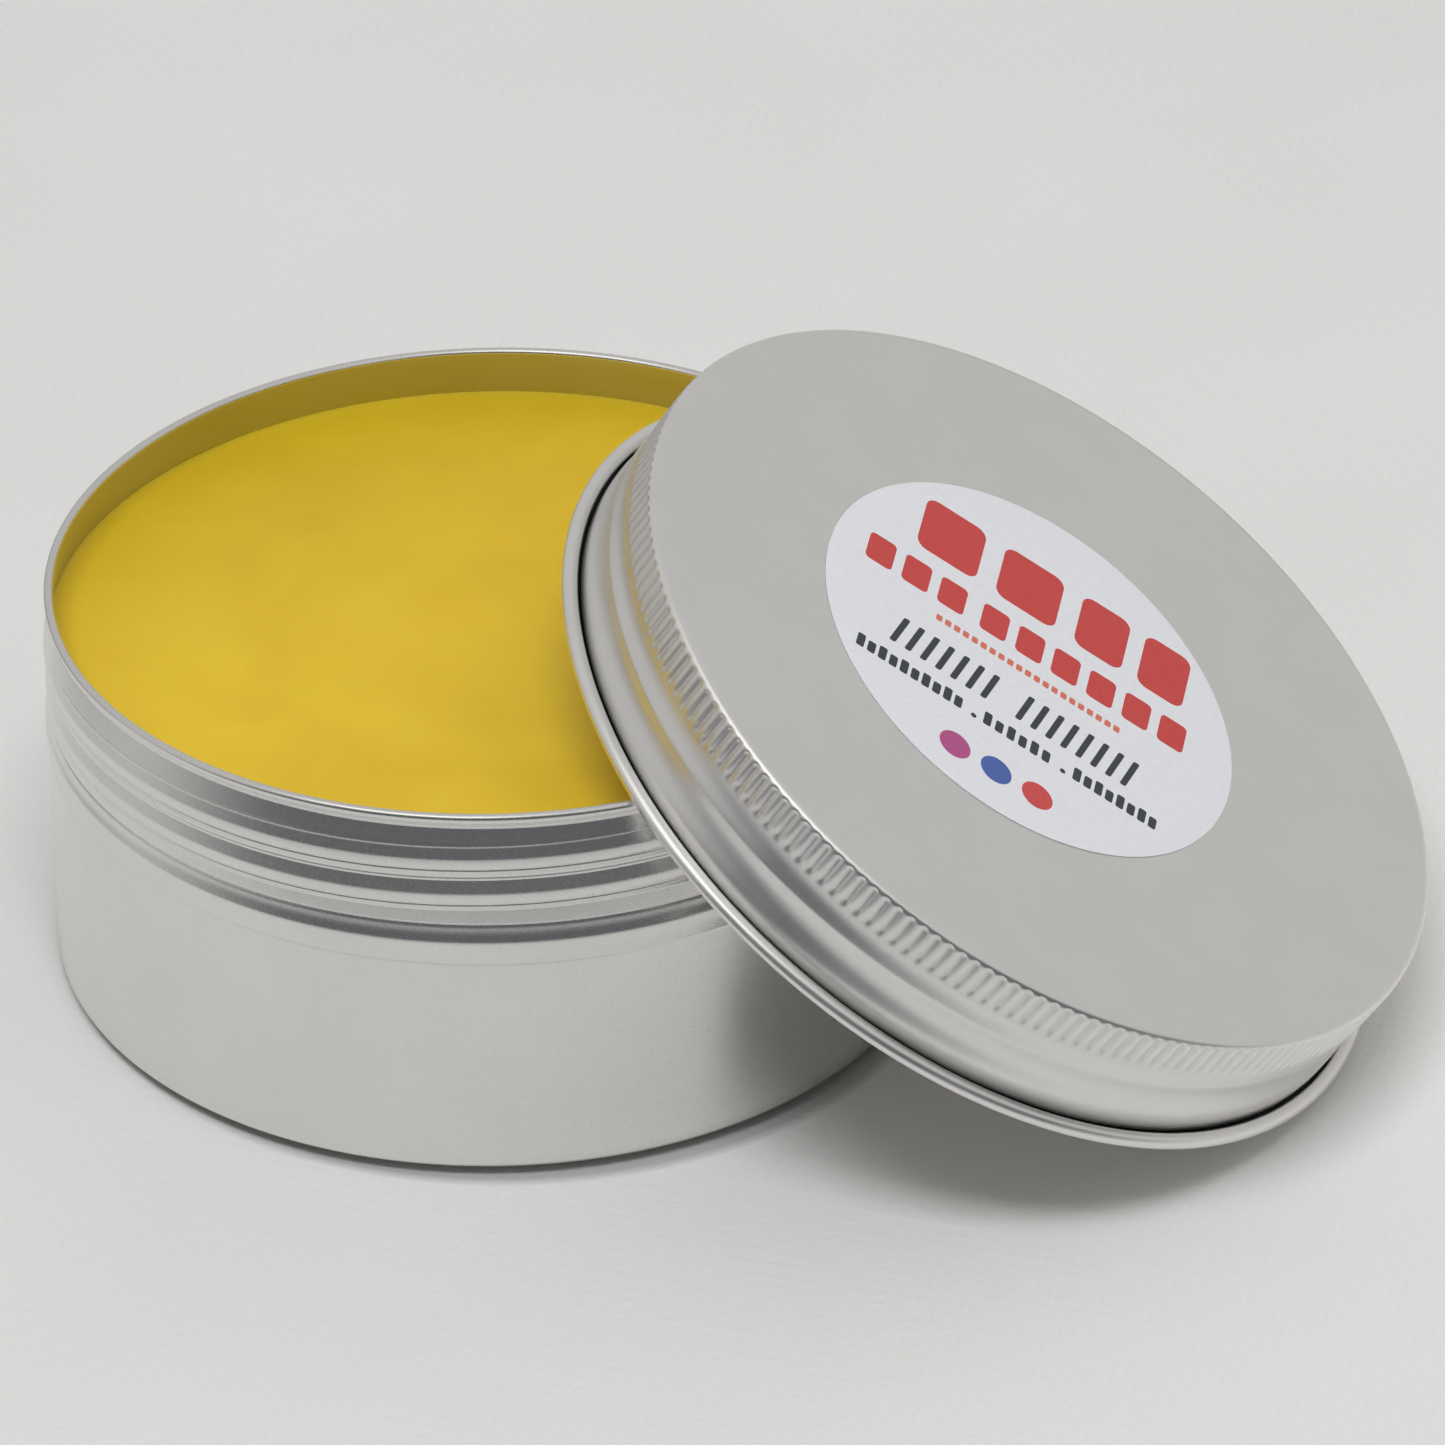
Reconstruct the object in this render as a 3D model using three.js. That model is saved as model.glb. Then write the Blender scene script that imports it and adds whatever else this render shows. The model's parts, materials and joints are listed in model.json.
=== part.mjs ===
// Round screw-top aluminium tin full of wax, with its lid off and leaning on the rim.
// Millimetres, +Z up. The origin is the centre of the tin's flat underside.
// +X points from the tin towards the leaning lid.

import * as THREE from "three";

// Tin: one drawn cup, straight wall, rolled thread below the rim.
const WALL = 0.35;
const BODY_R = 39.3;
const BASE_CORNER_R = 1.8;
const RIM_TOP_Z = 36.2;
const RIM_CURL_R = 0.4;
const RIM_CURL_CENTRE_R = 38.6;
const CREASE_Z = RIM_TOP_Z - 2 * RIM_CURL_R - 0.15;
const CREASE_R = 38.6;
const COLLAR_R = 38.78;
const COLLAR_Z = 35.1;
const NECK_TOP_R = 38.62;
const NECK_R = 38.97;
const NECK_TAPER_Z = 31.0;
const SHOULDER_TOP_Z = 25.3;
const SHOULDER_Z = 23.7;
const STOP_BEAD_Z = 22.9;
const STOP_BEAD_R = 39.4;
const STOP_BEAD_END_Z = 21.8;

// Thread on the neck: one right-handed ridge, steep below its crest and long above it.
const PITCH = 3.5;
const TIN_THREAD = {
  zero: 25.35,
  from: 0.35,
  to: 2.3,
  runout: 0.25,
  height: 0.3,
  below: 0.26,
  above: 0.5,
};

// Wax: poured, with a low rise where it meets the wall.
const FIT_GAP = 0.3;
const WAX_LEVEL_Z = 31.2;
const WAX_EDGE_RISE = 0.35;
const WAX_EDGE_WIDTH = 2.4;

// Lid, in its own frame: +Z out through the top, zero at the centre of the edge curl.
const LID_WALL = 0.3;
const LID_R = 39.95;
const LID_TOP_Z = 11.91;
const LID_CORNER_R = 0.95;
const GRIP_TOP_Z = 11.0;
const GRIP_BOTTOM_Z = 8.2;
const SKIRT_R = 39.88;
const SKIRT_FOOT_Z = 1.2;
const CURL_R = 0.69;
const CURL_CENTRE_R = 40.81;
const CURL_SLOT_R = 40.0;
const LID_THREAD = {
  zero: 1.27,
  from: 0.3,
  to: 1.95,
  runout: 0.3,
  height: 0.5,
  below: 0.4,
  above: 0.4,
};

// Sealing disc under the lid's top, and round paper label on it.
const LINER_R = 39.2;
const LINER_THICKNESS = 0.6;
const LABEL_R = 20.8;
const LABEL_THICKNESS = 0.12;
const LABEL_GAP = 0.25;
const LABEL_OFFSET_X = -1.6;
const LABEL_OFFSET_Y = -0.2;

// Leaning pose: the curl's low side is on the ground and its two flanks lie on the tin's rim.
const LEAN_ANGLE = THREE.MathUtils.degToRad(33.28);
const LEAN_X = 43.2;
const GROUND_CLEARANCE = 0.1;

const AROUND = 56;
const THREAD_ROWS = 14;
const INNER_ROWS = 10;

function aluminium(name, color, roughness) {
  return new THREE.MeshStandardMaterial({ name, color, roughness, metalness: 1.0 });
}

function opaque(name, color, roughness) {
  return new THREE.MeshStandardMaterial({ name, color, roughness, metalness: 0.0 });
}

// Points on an arc, from one angle to another in degrees, both ends included.
function arc(r, z, radius, from, to, steps) {
  const points = [];
  for (let i = 0; i <= steps; i++) {
    const a = THREE.MathUtils.degToRad(from + ((to - from) * i) / steps);
    points.push([r + radius * Math.cos(a), z + radius * Math.sin(a)]);
  }
  return points;
}

// Evenly spaced heights between two levels, both included.
function levels(from, to, count) {
  return Array.from({ length: count }, (_, i) => from + ((to - from) * i) / (count - 1));
}

// Height of a helical ridge, 0 to thread.height, at a level and an angle round the axis.
function ridge(thread, z, angle) {
  const share = ((angle / (2 * Math.PI)) % 1 + 1) % 1;
  let height = 0;
  for (let turn = -1; turn <= 3; turn++) {
    const along = turn + share;
    const start = THREE.MathUtils.smoothstep(along, thread.from, thread.from + thread.runout);
    const end = THREE.MathUtils.smoothstep(along, thread.to - thread.runout, thread.to);
    const s = (z - thread.zero) / PITCH - along;
    const reach = s < 0 ? thread.below : thread.above;
    const shape = Math.max(0, 1 - Math.abs(s) / reach);
    const rounded = shape * shape * (3 - 2 * shape);
    height = Math.max(height, thread.height * start * (1 - end) * rounded);
  }
  return height;
}

// Solid of revolution about Z; offset(z, angle) moves the points of one band in or out.
function revolve(profile, around, band, offset) {
  const points = profile.map(([r, z]) => new THREE.Vector2(r, z));
  const geometry = new THREE.LatheGeometry(points, around);
  geometry.rotateX(Math.PI / 2);
  if (!offset) return geometry;
  const position = geometry.attributes.position;
  for (let i = 0; i < position.count; i++) {
    const x = position.getX(i);
    const y = position.getY(i);
    const z = position.getZ(i);
    const r = Math.hypot(x, y);
    if (r < band.inside || z <= band.low || z >= band.high) continue;
    const moved = (r + offset(z, Math.atan2(y, x))) / r;
    position.setXY(i, x * moved, y * moved);
  }
  geometry.computeVertexNormals();
  return geometry;
}

// Radius of the outside of the neck between the shoulder and the collar, without the thread.
function neckRadius(z) {
  if (z <= NECK_TAPER_Z) return NECK_R;
  const t = (z - NECK_TAPER_Z) / (COLLAR_Z - NECK_TAPER_Z);
  return NECK_R + (NECK_TOP_R - NECK_R) * t;
}

function tinCup() {
  const threadZ = levels(SHOULDER_TOP_Z + 0.15, COLLAR_Z - 0.1, THREAD_ROWS);
  const innerZ = levels(COLLAR_Z - 0.1, SHOULDER_TOP_Z + 0.15, INNER_ROWS);
  const curlZ = RIM_TOP_Z - RIM_CURL_R;
  const profile = [
    [0, 0],
    ...arc(BODY_R - BASE_CORNER_R, BASE_CORNER_R, BASE_CORNER_R, -90, 0, 4),
    [BODY_R, STOP_BEAD_END_Z],
    [STOP_BEAD_R, STOP_BEAD_Z],
    [STOP_BEAD_R - 0.03, SHOULDER_Z],
    ...threadZ.map((z) => [neckRadius(z), z]),
    [COLLAR_R, COLLAR_Z + 0.1],
    [COLLAR_R, CREASE_Z - 0.1],
    [CREASE_R, CREASE_Z],
    ...arc(RIM_CURL_CENTRE_R, curlZ, RIM_CURL_R, -70, 180, 8),
    [RIM_CURL_CENTRE_R - RIM_CURL_R, COLLAR_Z + 0.1],
    ...innerZ.map((z) => [neckRadius(z) - WALL, z]),
    [BODY_R - WALL, SHOULDER_Z],
    ...arc(BODY_R - BASE_CORNER_R, BASE_CORNER_R, BASE_CORNER_R - WALL, 0, -90, 3),
    [0, WALL],
  ];
  const band = { inside: 30, low: SHOULDER_TOP_Z, high: COLLAR_Z };
  const geometry = revolve(profile, AROUND, band, (z, angle) => ridge(TIN_THREAD, z, angle));
  return new THREE.Mesh(geometry, aluminium("tin_aluminium", 0xb9b6b0, 0.38));
}

function waxFill() {
  const bottom = WALL + FIT_GAP;
  const bodyR = BODY_R - WALL - FIT_GAP;
  const neckR = NECK_R - WALL - FIT_GAP - 0.05;
  const edgeZ = WAX_LEVEL_Z + WAX_EDGE_RISE;
  const profile = [
    [0, bottom],
    ...arc(bodyR - BASE_CORNER_R, bottom + BASE_CORNER_R, BASE_CORNER_R, -90, 0, 3),
    [bodyR, SHOULDER_Z - 1.0],
    [neckR, SHOULDER_TOP_Z],
    [neckR, edgeZ],
    [neckR - WAX_EDGE_WIDTH / 3, WAX_LEVEL_Z + WAX_EDGE_RISE * 0.3],
    [neckR - WAX_EDGE_WIDTH, WAX_LEVEL_Z],
    [0, WAX_LEVEL_Z],
  ];
  return new THREE.Mesh(revolve(profile, AROUND), opaque("yellow_wax", 0xcfac3c, 0.55));
}

function lidShell() {
  const inner = LID_R - LID_WALL;
  const ceiling = LID_TOP_Z - LID_WALL;
  const cornerR = LID_R - LID_CORNER_R;
  const cornerZ = LID_TOP_Z - LID_CORNER_R;
  const outerZ = levels(SKIRT_FOOT_Z, GRIP_BOTTOM_Z - 0.2, THREAD_ROWS - 2);
  const innerZ = levels(GRIP_BOTTOM_Z - 0.2, SKIRT_FOOT_Z, INNER_ROWS);
  const profile = [
    [0, ceiling],
    ...arc(cornerR, cornerZ, LID_CORNER_R - LID_WALL, 90, 0, 3),
    [inner, GRIP_BOTTOM_Z + 0.1],
    ...innerZ.map((z) => [SKIRT_R - LID_WALL, z]),
    [SKIRT_R - LID_WALL, 0.3],
    ...arc(CURL_CENTRE_R, 0, CURL_R, -130, 170, 10),
    [CURL_SLOT_R, -0.05],
    [SKIRT_R - 0.08, 0.5],
    ...outerZ.map((z) => [SKIRT_R, z]),
    [LID_R, GRIP_BOTTOM_Z + 0.1],
    [LID_R, GRIP_TOP_Z - 0.3],
    ...arc(cornerR, cornerZ, LID_CORNER_R, 0, 90, 5),
    [0, LID_TOP_Z],
  ];
  const band = { inside: 30, low: SKIRT_FOOT_Z - 0.1, high: GRIP_BOTTOM_Z - 0.1 };
  const geometry = revolve(profile, AROUND, band, (z, angle) => -ridge(LID_THREAD, z, angle));
  return new THREE.Mesh(geometry, aluminium("lid_aluminium", 0xb7b5b1, 0.42));
}

function disc(radius, low, high, rounding) {
  const profile = [
    [0, low],
    [radius, low],
    [radius, high - rounding],
    [radius - rounding, high],
    [0, high],
  ];
  return revolve(profile, AROUND);
}

function lidLiner() {
  const top = LID_TOP_Z - LID_WALL - FIT_GAP;
  const geometry = disc(LINER_R, top - LINER_THICKNESS, top, 0.5);
  return new THREE.Mesh(geometry, opaque("white_foam", 0xe9e8e4, 0.9));
}

function lidLabel() {
  const low = LID_TOP_Z + LABEL_GAP;
  const geometry = disc(LABEL_R, low, low + LABEL_THICKNESS, 0.02);
  const mesh = new THREE.Mesh(geometry, opaque("label_paper", 0xe4e6ea, 0.6));
  mesh.position.set(LABEL_OFFSET_X, LABEL_OFFSET_Y, 0);
  return mesh;
}

function named(mesh, name) {
  mesh.name = name;
  return mesh;
}

const tin = new THREE.Group();
tin.add(named(tinCup(), "tin_cup"));
tin.add(named(waxFill(), "wax_fill"));

const lid = new THREE.Group();
lid.add(named(lidShell(), "lid_shell"));
lid.add(named(lidLiner(), "lid_liner"));
lid.add(named(lidLabel(), "lid_label"));
lid.rotation.y = LEAN_ANGLE;
const curlDrop = CURL_CENTRE_R * Math.sin(LEAN_ANGLE) + CURL_R;
lid.position.set(LEAN_X, 0, curlDrop + GROUND_CLEARANCE);

const tinWithLid = new THREE.Group();
tinWithLid.add(tin, lid);

export default tinWithLid;
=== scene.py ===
import json
import math

import bpy
import numpy as np
from mathutils import Matrix, Vector


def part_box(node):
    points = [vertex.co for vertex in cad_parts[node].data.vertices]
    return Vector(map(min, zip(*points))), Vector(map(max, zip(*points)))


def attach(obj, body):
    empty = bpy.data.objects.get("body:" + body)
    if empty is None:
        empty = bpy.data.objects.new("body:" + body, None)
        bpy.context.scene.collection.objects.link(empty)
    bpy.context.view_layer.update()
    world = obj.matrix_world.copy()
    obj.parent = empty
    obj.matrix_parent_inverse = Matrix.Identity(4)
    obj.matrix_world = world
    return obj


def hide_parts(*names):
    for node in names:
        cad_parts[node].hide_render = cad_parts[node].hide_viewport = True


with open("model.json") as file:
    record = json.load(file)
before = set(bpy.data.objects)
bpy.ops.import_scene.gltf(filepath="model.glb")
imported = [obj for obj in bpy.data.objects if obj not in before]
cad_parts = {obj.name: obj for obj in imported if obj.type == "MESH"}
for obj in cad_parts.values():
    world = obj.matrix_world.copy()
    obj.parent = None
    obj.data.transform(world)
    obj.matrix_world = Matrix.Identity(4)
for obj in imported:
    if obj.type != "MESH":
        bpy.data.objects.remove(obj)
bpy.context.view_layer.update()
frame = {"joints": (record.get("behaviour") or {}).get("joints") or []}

# A round screw-top aluminium tin of yellow wax, with its lid leaning on the rim.
# Shapes are given in millimetres: the tin's from the centre of its underside, the lid's from the
# centre of its edge curl with Z out through the top. Lights, floor and camera are in metres.

MM = 0.001
TURN = 2 * math.pi
WAVE_SEED = 20

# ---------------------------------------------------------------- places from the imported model

STOP_BEAD_OUT = 0.1
tin_low, tin_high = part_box("tin_cup")
RIM_TOP = tin_high.z / MM
BODY_R = (tin_high.x - tin_low.x) / 2 / MM - STOP_BEAD_OUT
turn_joint = next(j for j in frame["joints"] if j["name"] == "lid_turn")
lid_axis = Vector(turn_joint["axis"]).normalized()
lid_side = Vector((0, 1, 0))
lid_down = lid_side.cross(lid_axis).normalized()
LID = Matrix((lid_down, lid_side, lid_axis)).transposed().to_4x4()
LID.translation = Vector(turn_joint["pos_m"])
TIN = Matrix.Identity(4)

# ---------------------------------------------------------------- mesh building


class Skin:
    """Rings of points round the local Z axis, in millimetres, joined one to the next.

    finish is the number of the material that the next faces get.
    """

    def __init__(self):
        self.points, self.faces, self.last, self.count = [], [], None, 0
        self.finish, self.finishes = 0, []

    def ring(self, r, z, n):
        """One ring of n points; r and z are numbers, or arrays with one value a point."""
        a = np.arange(n) * TURN / n
        r, z = np.broadcast_to(r, n), np.broadcast_to(z, n)
        self.join(np.column_stack((r * np.cos(a), r * np.sin(a), z)))

    def outline(self, corners, n):
        """Plain rings of n points through (radius, height) corners."""
        for r, z in corners:
            self.ring(r, z, n)

    def pole(self, z):
        """A single point on the axis, which closes the skin."""
        self.join(np.array([[0.0, 0.0, z]]))

    def join(self, xyz):
        self.points.append(xyz)
        now = np.arange(self.count, self.count + len(xyz))
        self.count += len(xyz)
        if self.last is not None:
            self.stitch(self.last, now)
            self.finishes += [self.finish] * (len(self.faces) - len(self.finishes))
        self.last = now

    def stitch(self, old, now):
        """Faces between two rings; one ring's count is a multiple of the other's."""
        if len(old) == len(now):
            following = np.roll(np.arange(len(old)), -1)
            self.faces += np.column_stack((old, old[following], now[following], now)).tolist()
            return
        flip = len(old) > len(now)
        few, many = (now.tolist(), old.tolist()) if flip else (old.tolist(), now.tolist())
        k = len(many) // len(few)
        if len(few) == 1:
            faces = [[few[0], q, p] for p, q in zip(many, many[1:] + many[:1])]
        else:
            faces = []
            for i, corner in enumerate(few):
                run = [many[(i * k + j) % len(many)] for j in range(k + 1)]
                faces.append([corner, few[(i + 1) % len(few)]] + run[::-1])
        self.faces += [face[::-1] for face in faces] if flip else faces


def piece(name, points, faces, place, material, smooth=True):
    """A mesh object in the row frame. Attribute "at" keeps each point's own local place in millimetres."""
    points = np.asarray(points, float)
    mesh = bpy.data.meshes.new(name)
    world = np.array(place, float)
    moved = points * MM @ world[:3, :3].T + world[:3, 3]
    mesh.from_pydata(moved.tolist(), [], faces)
    at = mesh.attributes.new("at", "FLOAT_VECTOR", "POINT")
    at.data.foreach_set("vector", points.astype(np.float32).ravel())
    mesh.polygons.foreach_set("use_smooth", np.full(len(mesh.polygons), smooth))
    mesh.materials.append(material)
    mesh.update()
    mesh.validate()
    obj = bpy.data.objects.new(name, mesh)
    bpy.context.scene.collection.objects.link(obj)
    return obj


def skin_piece(name, skin, place, *materials):
    """A piece made from a skin, with one material for each of its finishes."""
    obj = piece(name, np.concatenate(skin.points), skin.faces, place, materials[0])
    for extra in materials[1:]:
        obj.data.materials.append(extra)
    obj.data.polygons.foreach_set("material_index", skin.finishes)
    outward(obj.data)
    return obj


def outward(mesh):
    """Turns a closed mesh's faces to the outside."""
    n = len(mesh.vertices)
    co = np.zeros(n * 3)
    mesh.vertices.foreach_get("co", co)
    co = co.reshape(-1, 3)
    mesh.calc_loop_triangles()
    tris = np.zeros(len(mesh.loop_triangles) * 3, int)
    mesh.loop_triangles.foreach_get("vertices", tris)
    a, b, c = (co[tris.reshape(-1, 3)[:, i]] for i in range(3))
    if np.einsum("ij,ij->i", a, np.cross(b, c)).sum() < 0:
        mesh.flip_normals()


def arc(r, z, radius, start, end, steps):
    """Points of an arc round (r, z), from one angle to another in degrees, both ends included."""
    a = np.radians(np.linspace(start, end, steps + 1))
    return [(r + radius * math.cos(t), z + radius * math.sin(t)) for t in a]


def smoothstep(x, low, high):
    t = np.clip((np.asarray(x, float) - low) / (high - low), 0, 1)
    return t * t * (3 - 2 * t)


# ---------------------------------------------------------------- threads

PITCH = 3.5
TIN_THREAD_FROM, TIN_THREAD_TO, TIN_RUNOUT = 0.35, 9.0, 0.25
LID_THREAD_ZERO, LID_THREAD_FROM, LID_THREAD_TO, LID_RUNOUT = 1.27, 0.3, 1.95, 0.3


def helix(z, angle, zero, first, last, runout, shape):
    """Radial offset of a rolled thread that runs from turn first to turn last.

    shape(s) is its section, with s in millimetres above the crest, and zero is the crest's height
    at angle 0 of turn 0.
    """
    share = np.mod(angle / TURN, 1.0)
    total = np.zeros(np.broadcast(z, angle).shape)
    for turn in range(-1, 4):
        along = turn + share
        fade = smoothstep(along, first, first + runout) * (1 - smoothstep(along, last - runout, last))
        s = z - zero - PITCH * along
        total = np.maximum(total, fade * shape(s))
    return total


# Section of the tin's bead: cone above, short step below with a roll mark, and a fine lip at its foot.
BEAD_S = [-1.85, -1.66, -1.46, -1.30, -0.84, -0.62, -0.42, -0.20, 0.10, 0.34, 0.50, 1.75, 1.9]
BEAD_R = [0.0, 0.038, 0.010, 0.026, 0.214, 0.170, 0.272, 0.290, 0.292, 0.286, 0.270, 0.004, 0.0]
THREAD_ZERO, NECK_R, NECK_TOP_R, NECK_TOP = 25.35, 38.96, 38.60, 34.85
CONE_START, CONE_OUT = 0.45, 0.278
FOOT_LOW, FOOT_Z, FOOT_FLARE = 25.45, 27.2, 0.16
ROLL_MARK_S, ROLL_MARK_HEIGHT, ROLL_MARK_WIDTH = 1.62, 0.034, 0.12


def bead(s):
    return np.interp(s, BEAD_S, BEAD_R)


def below_top_turn(z, angle, crest):
    """Neck radius where one turn is the last: its beads, then one cone up to the collar."""
    beads = helix(z, angle, THREAD_ZERO, TIN_THREAD_FROM, TIN_THREAD_TO, TIN_RUNOUT, bead)
    edge = crest + CONE_START
    t = np.clip((z - edge) / (NECK_TOP - edge), 0, 1)
    cone = NECK_R + CONE_OUT + (NECK_TOP_R - NECK_R - CONE_OUT) * t
    foot = FOOT_FLARE * np.clip((FOOT_Z - z) / (FOOT_Z - FOOT_LOW), 0, 1)
    return np.where(z > edge, cone, NECK_R + np.maximum(beads, foot))


def neck_radius(z, angle):
    """Outside radius of the tin's neck at a level and an angle, both arrays.

    The cone passes from the upper turn to the one below it in the first third of a turn, and a fine
    roll mark runs along the cone in the last half.
    """
    share = np.mod(angle / TURN, 1.0)
    lower = below_top_turn(z, angle, THREAD_ZERO + PITCH * (1 + share))
    upper = below_top_turn(z, angle, THREAD_ZERO + PITCH * (2 + share))
    r = lower + (upper - lower) * (1 - smoothstep(share, 0.02, 0.30))
    marked = smoothstep(share, 0.50, 0.78) * (1 - smoothstep(share, 0.96, 1.0))
    s = z - THREAD_ZERO - PITCH * (1 + share)
    return r + marked * ROLL_MARK_HEIGHT * np.exp(-(((s - ROLL_MARK_S) / ROLL_MARK_WIDTH) ** 2))


GROOVE_DEPTH, GROOVE_REACH, GROOVE_ROUNDING = 0.24, 1.6, 0.4


def lid_groove(s):
    """Depth of the lid's thread groove: a rounded valley with soft upper edges."""
    away = np.sqrt(s * s + GROOVE_ROUNDING**2) - GROOVE_ROUNDING
    t = np.clip(1 - away / GROOVE_REACH, 0, 1)
    return GROOVE_DEPTH * (0.35 * t + 0.65 * t * t * (3 - 2 * t))


def lid_thread(z, angle):
    """Radial offset of the lid's skirt, inward in the groove."""
    return -helix(z, angle, LID_THREAD_ZERO, LID_THREAD_FROM, LID_THREAD_TO, LID_RUNOUT, lid_groove)


# ---------------------------------------------------------------- materials


def material(name):
    """A new node material: itself, its nodes, its links and its Principled shader."""
    m = bpy.data.materials.new(name)
    m.use_nodes = True
    nodes, links = m.node_tree.nodes, m.node_tree.links
    return m, nodes, links, nodes["Principled BSDF"]


def at_node(nodes):
    """A point's own place in its piece, in millimetres."""
    n = nodes.new("ShaderNodeAttribute")
    n.attribute_name = "at"
    return n.outputs["Vector"]


def vector_maths(nodes, links, operation, vector, constant=None):
    n = nodes.new("ShaderNodeVectorMath")
    n.operation = operation
    links.new(vector, n.inputs[0])
    if constant is not None:
        n.inputs[1].default_value = constant
    return n


def scaled(nodes, links, vector, xyz):
    """A vector times a constant, axis by axis."""
    return vector_maths(nodes, links, "MULTIPLY", vector, xyz).outputs["Vector"]


def shaded(nodes, links, colour, amount):
    """A colour times a number that comes from another node."""
    n = vector_maths(nodes, links, "SCALE", colour)
    links.new(amount, n.inputs["Scale"])
    return n.outputs["Vector"]


def noise(nodes, links, vector, scale, detail=2.0, rough=0.5, distortion=0.0):
    n = nodes.new("ShaderNodeTexNoise")
    links.new(vector, n.inputs["Vector"])
    n.inputs["Scale"].default_value = scale
    n.inputs["Detail"].default_value = detail
    n.inputs["Roughness"].default_value = rough
    n.inputs["Distortion"].default_value = distortion
    return n.outputs["Fac"]


def spread(nodes, links, value, low, high, to_low, to_high):
    """A value from low to high, mapped to to_low to to_high and held beyond them."""
    n = nodes.new("ShaderNodeMapRange")
    links.new(value, n.inputs["Value"])
    for key, v in zip(("From Min", "From Max", "To Min", "To Max"), (low, high, to_low, to_high)):
        n.inputs[key].default_value = v
    return n.outputs["Result"]


def maths(nodes, links, operation, a, b):
    n = nodes.new("ShaderNodeMath")
    n.operation = operation
    for i, v in enumerate((a, b)):
        if isinstance(v, (int, float)):
            n.inputs[i].default_value = v
        else:
            links.new(v, n.inputs[i])
    return n.outputs["Value"]


def mixed(nodes, links, fac, a, b):
    """A mix of two colours, each a constant or another node's output."""
    n = nodes.new("ShaderNodeMix")
    n.data_type = "RGBA"
    links.new(fac, n.inputs["Factor"])
    for key, v in (("A", a), ("B", b)):
        socket = [s for s in n.inputs if s.name == key and s.type == "RGBA"][0]
        if isinstance(v, tuple):
            socket.default_value = (*v, 1)
        else:
            links.new(v, socket)
    return [s for s in n.outputs if s.type == "RGBA"][0]


def bump(nodes, links, height, distance, strength=1.0, normal=None):
    n = nodes.new("ShaderNodeBump")
    links.new(height, n.inputs["Height"])
    n.inputs["Distance"].default_value = distance
    n.inputs["Strength"].default_value = strength
    if normal is not None:
        links.new(normal, n.inputs["Normal"])
    return n.outputs["Normal"]


def unrolled(nodes, links, at, radius):
    """The outside of a round piece laid flat: length round it, height."""
    parts = nodes.new("ShaderNodeSeparateXYZ")
    links.new(at, parts.inputs[0])
    turn = maths(nodes, links, "ARCTAN2", parts.outputs["Y"], parts.outputs["X"])
    flat = nodes.new("ShaderNodeCombineXYZ")
    links.new(maths(nodes, links, "MULTIPLY", turn, radius), flat.inputs["X"])
    links.new(parts.outputs["Z"], flat.inputs["Y"])
    return flat.outputs["Vector"]


# How dark the painted shade in the lid's grip grooves is.
GROOVE_SHADE_PAINTED = 0.84


def groove_shade_painted(nodes, links, at, colour):
    """The lid's metal, darker in the grooves of its grip band: painted shade."""
    out = vector_maths(nodes, links, "LENGTH", scaled(nodes, links, at, (1, 1, 0)))
    parts = nodes.new("ShaderNodeSeparateXYZ")
    links.new(at, parts.inputs[0])
    ring = spread(nodes, links, out.outputs["Value"], 39.66, 39.94, GROOVE_SHADE_PAINTED, 1.0)
    above = spread(nodes, links, parts.outputs["Z"], 11.3, 11.6, GROOVE_SHADE_PAINTED, 1.0)
    below = spread(nodes, links, parts.outputs["Z"], 7.4, 8.3, 0.98, GROOVE_SHADE_PAINTED)
    rest = maths(nodes, links, "MAXIMUM", above, below)
    return shaded(nodes, links, colour, maths(nodes, links, "MAXIMUM", ring, rest))


WIPE_SLANT = math.radians(38)
WIPE_STRETCH = (1.3, 12.0, 1.0)
WIPE_RADIUS = 39.0


def aluminium(name, colour, rough, grain, scratch=0.0, hollows=False):
    """Satin aluminium: cloudy tone, fine grain, on the tin slanting wipe marks, and with hollows painted
    shade in the grip grooves.

    grain and scratch are bump heights in millimetres.
    """
    m, nodes, links, bsdf = material(name)
    at = at_node(nodes)
    fine = noise(nodes, links, at, 7.0, 3.0, 0.6)
    wide = noise(nodes, links, at, 0.12, 3.0, 0.55)
    tint = spread(nodes, links, wide, 0.3, 0.7, 0.0, 1.0)
    base = mixed(nodes, links, tint, tuple(c * 0.96 for c in colour), colour)
    base = mixed(nodes, links, spread(nodes, links, fine, 0.35, 0.65, 0.0, 0.5), base,
                 tuple(min(1, c * 1.05) for c in colour))
    # hollows darkens the base colour in the grip band's grooves: painted shade.
    if hollows:
        base = groove_shade_painted(nodes, links, at, base)
    links.new(base, bsdf.inputs["Base Color"])
    bsdf.inputs["Metallic"].default_value = 1.0
    n = bump(nodes, links, fine, grain * MM)
    soft = wide
    if scratch:
        slant = nodes.new("ShaderNodeVectorRotate")
        slant.rotation_type = "Z_AXIS"
        slant.inputs["Angle"].default_value = WIPE_SLANT
        links.new(unrolled(nodes, links, at, WIPE_RADIUS), slant.inputs["Vector"])
        marks = scaled(nodes, links, slant.outputs["Vector"], WIPE_STRETCH)
        soft = noise(nodes, links, marks, 1.0, 3.0, 0.6)
        n = bump(nodes, links, soft, scratch * MM, normal=n)
    links.new(spread(nodes, links, soft, 0.3, 0.7, rough - 0.04, rough + 0.04), bsdf.inputs["Roughness"])
    links.new(n, bsdf.inputs["Normal"])
    return m


tin_metal = aluminium("satin_aluminium_tin", (0.765, 0.758, 0.738), 0.25, 0.0022, 0.0021)
lid_metal = aluminium("satin_aluminium_lid", (0.835, 0.828, 0.812), 0.34, 0.0035, hollows=True)
# The inside metal is rougher, and its darker colour is painted shade inside the cup.
inside_metal_painted_shade = aluminium("aluminium_inside_painted_shade", (0.53, 0.525, 0.48), 0.30, 0.004)
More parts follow.
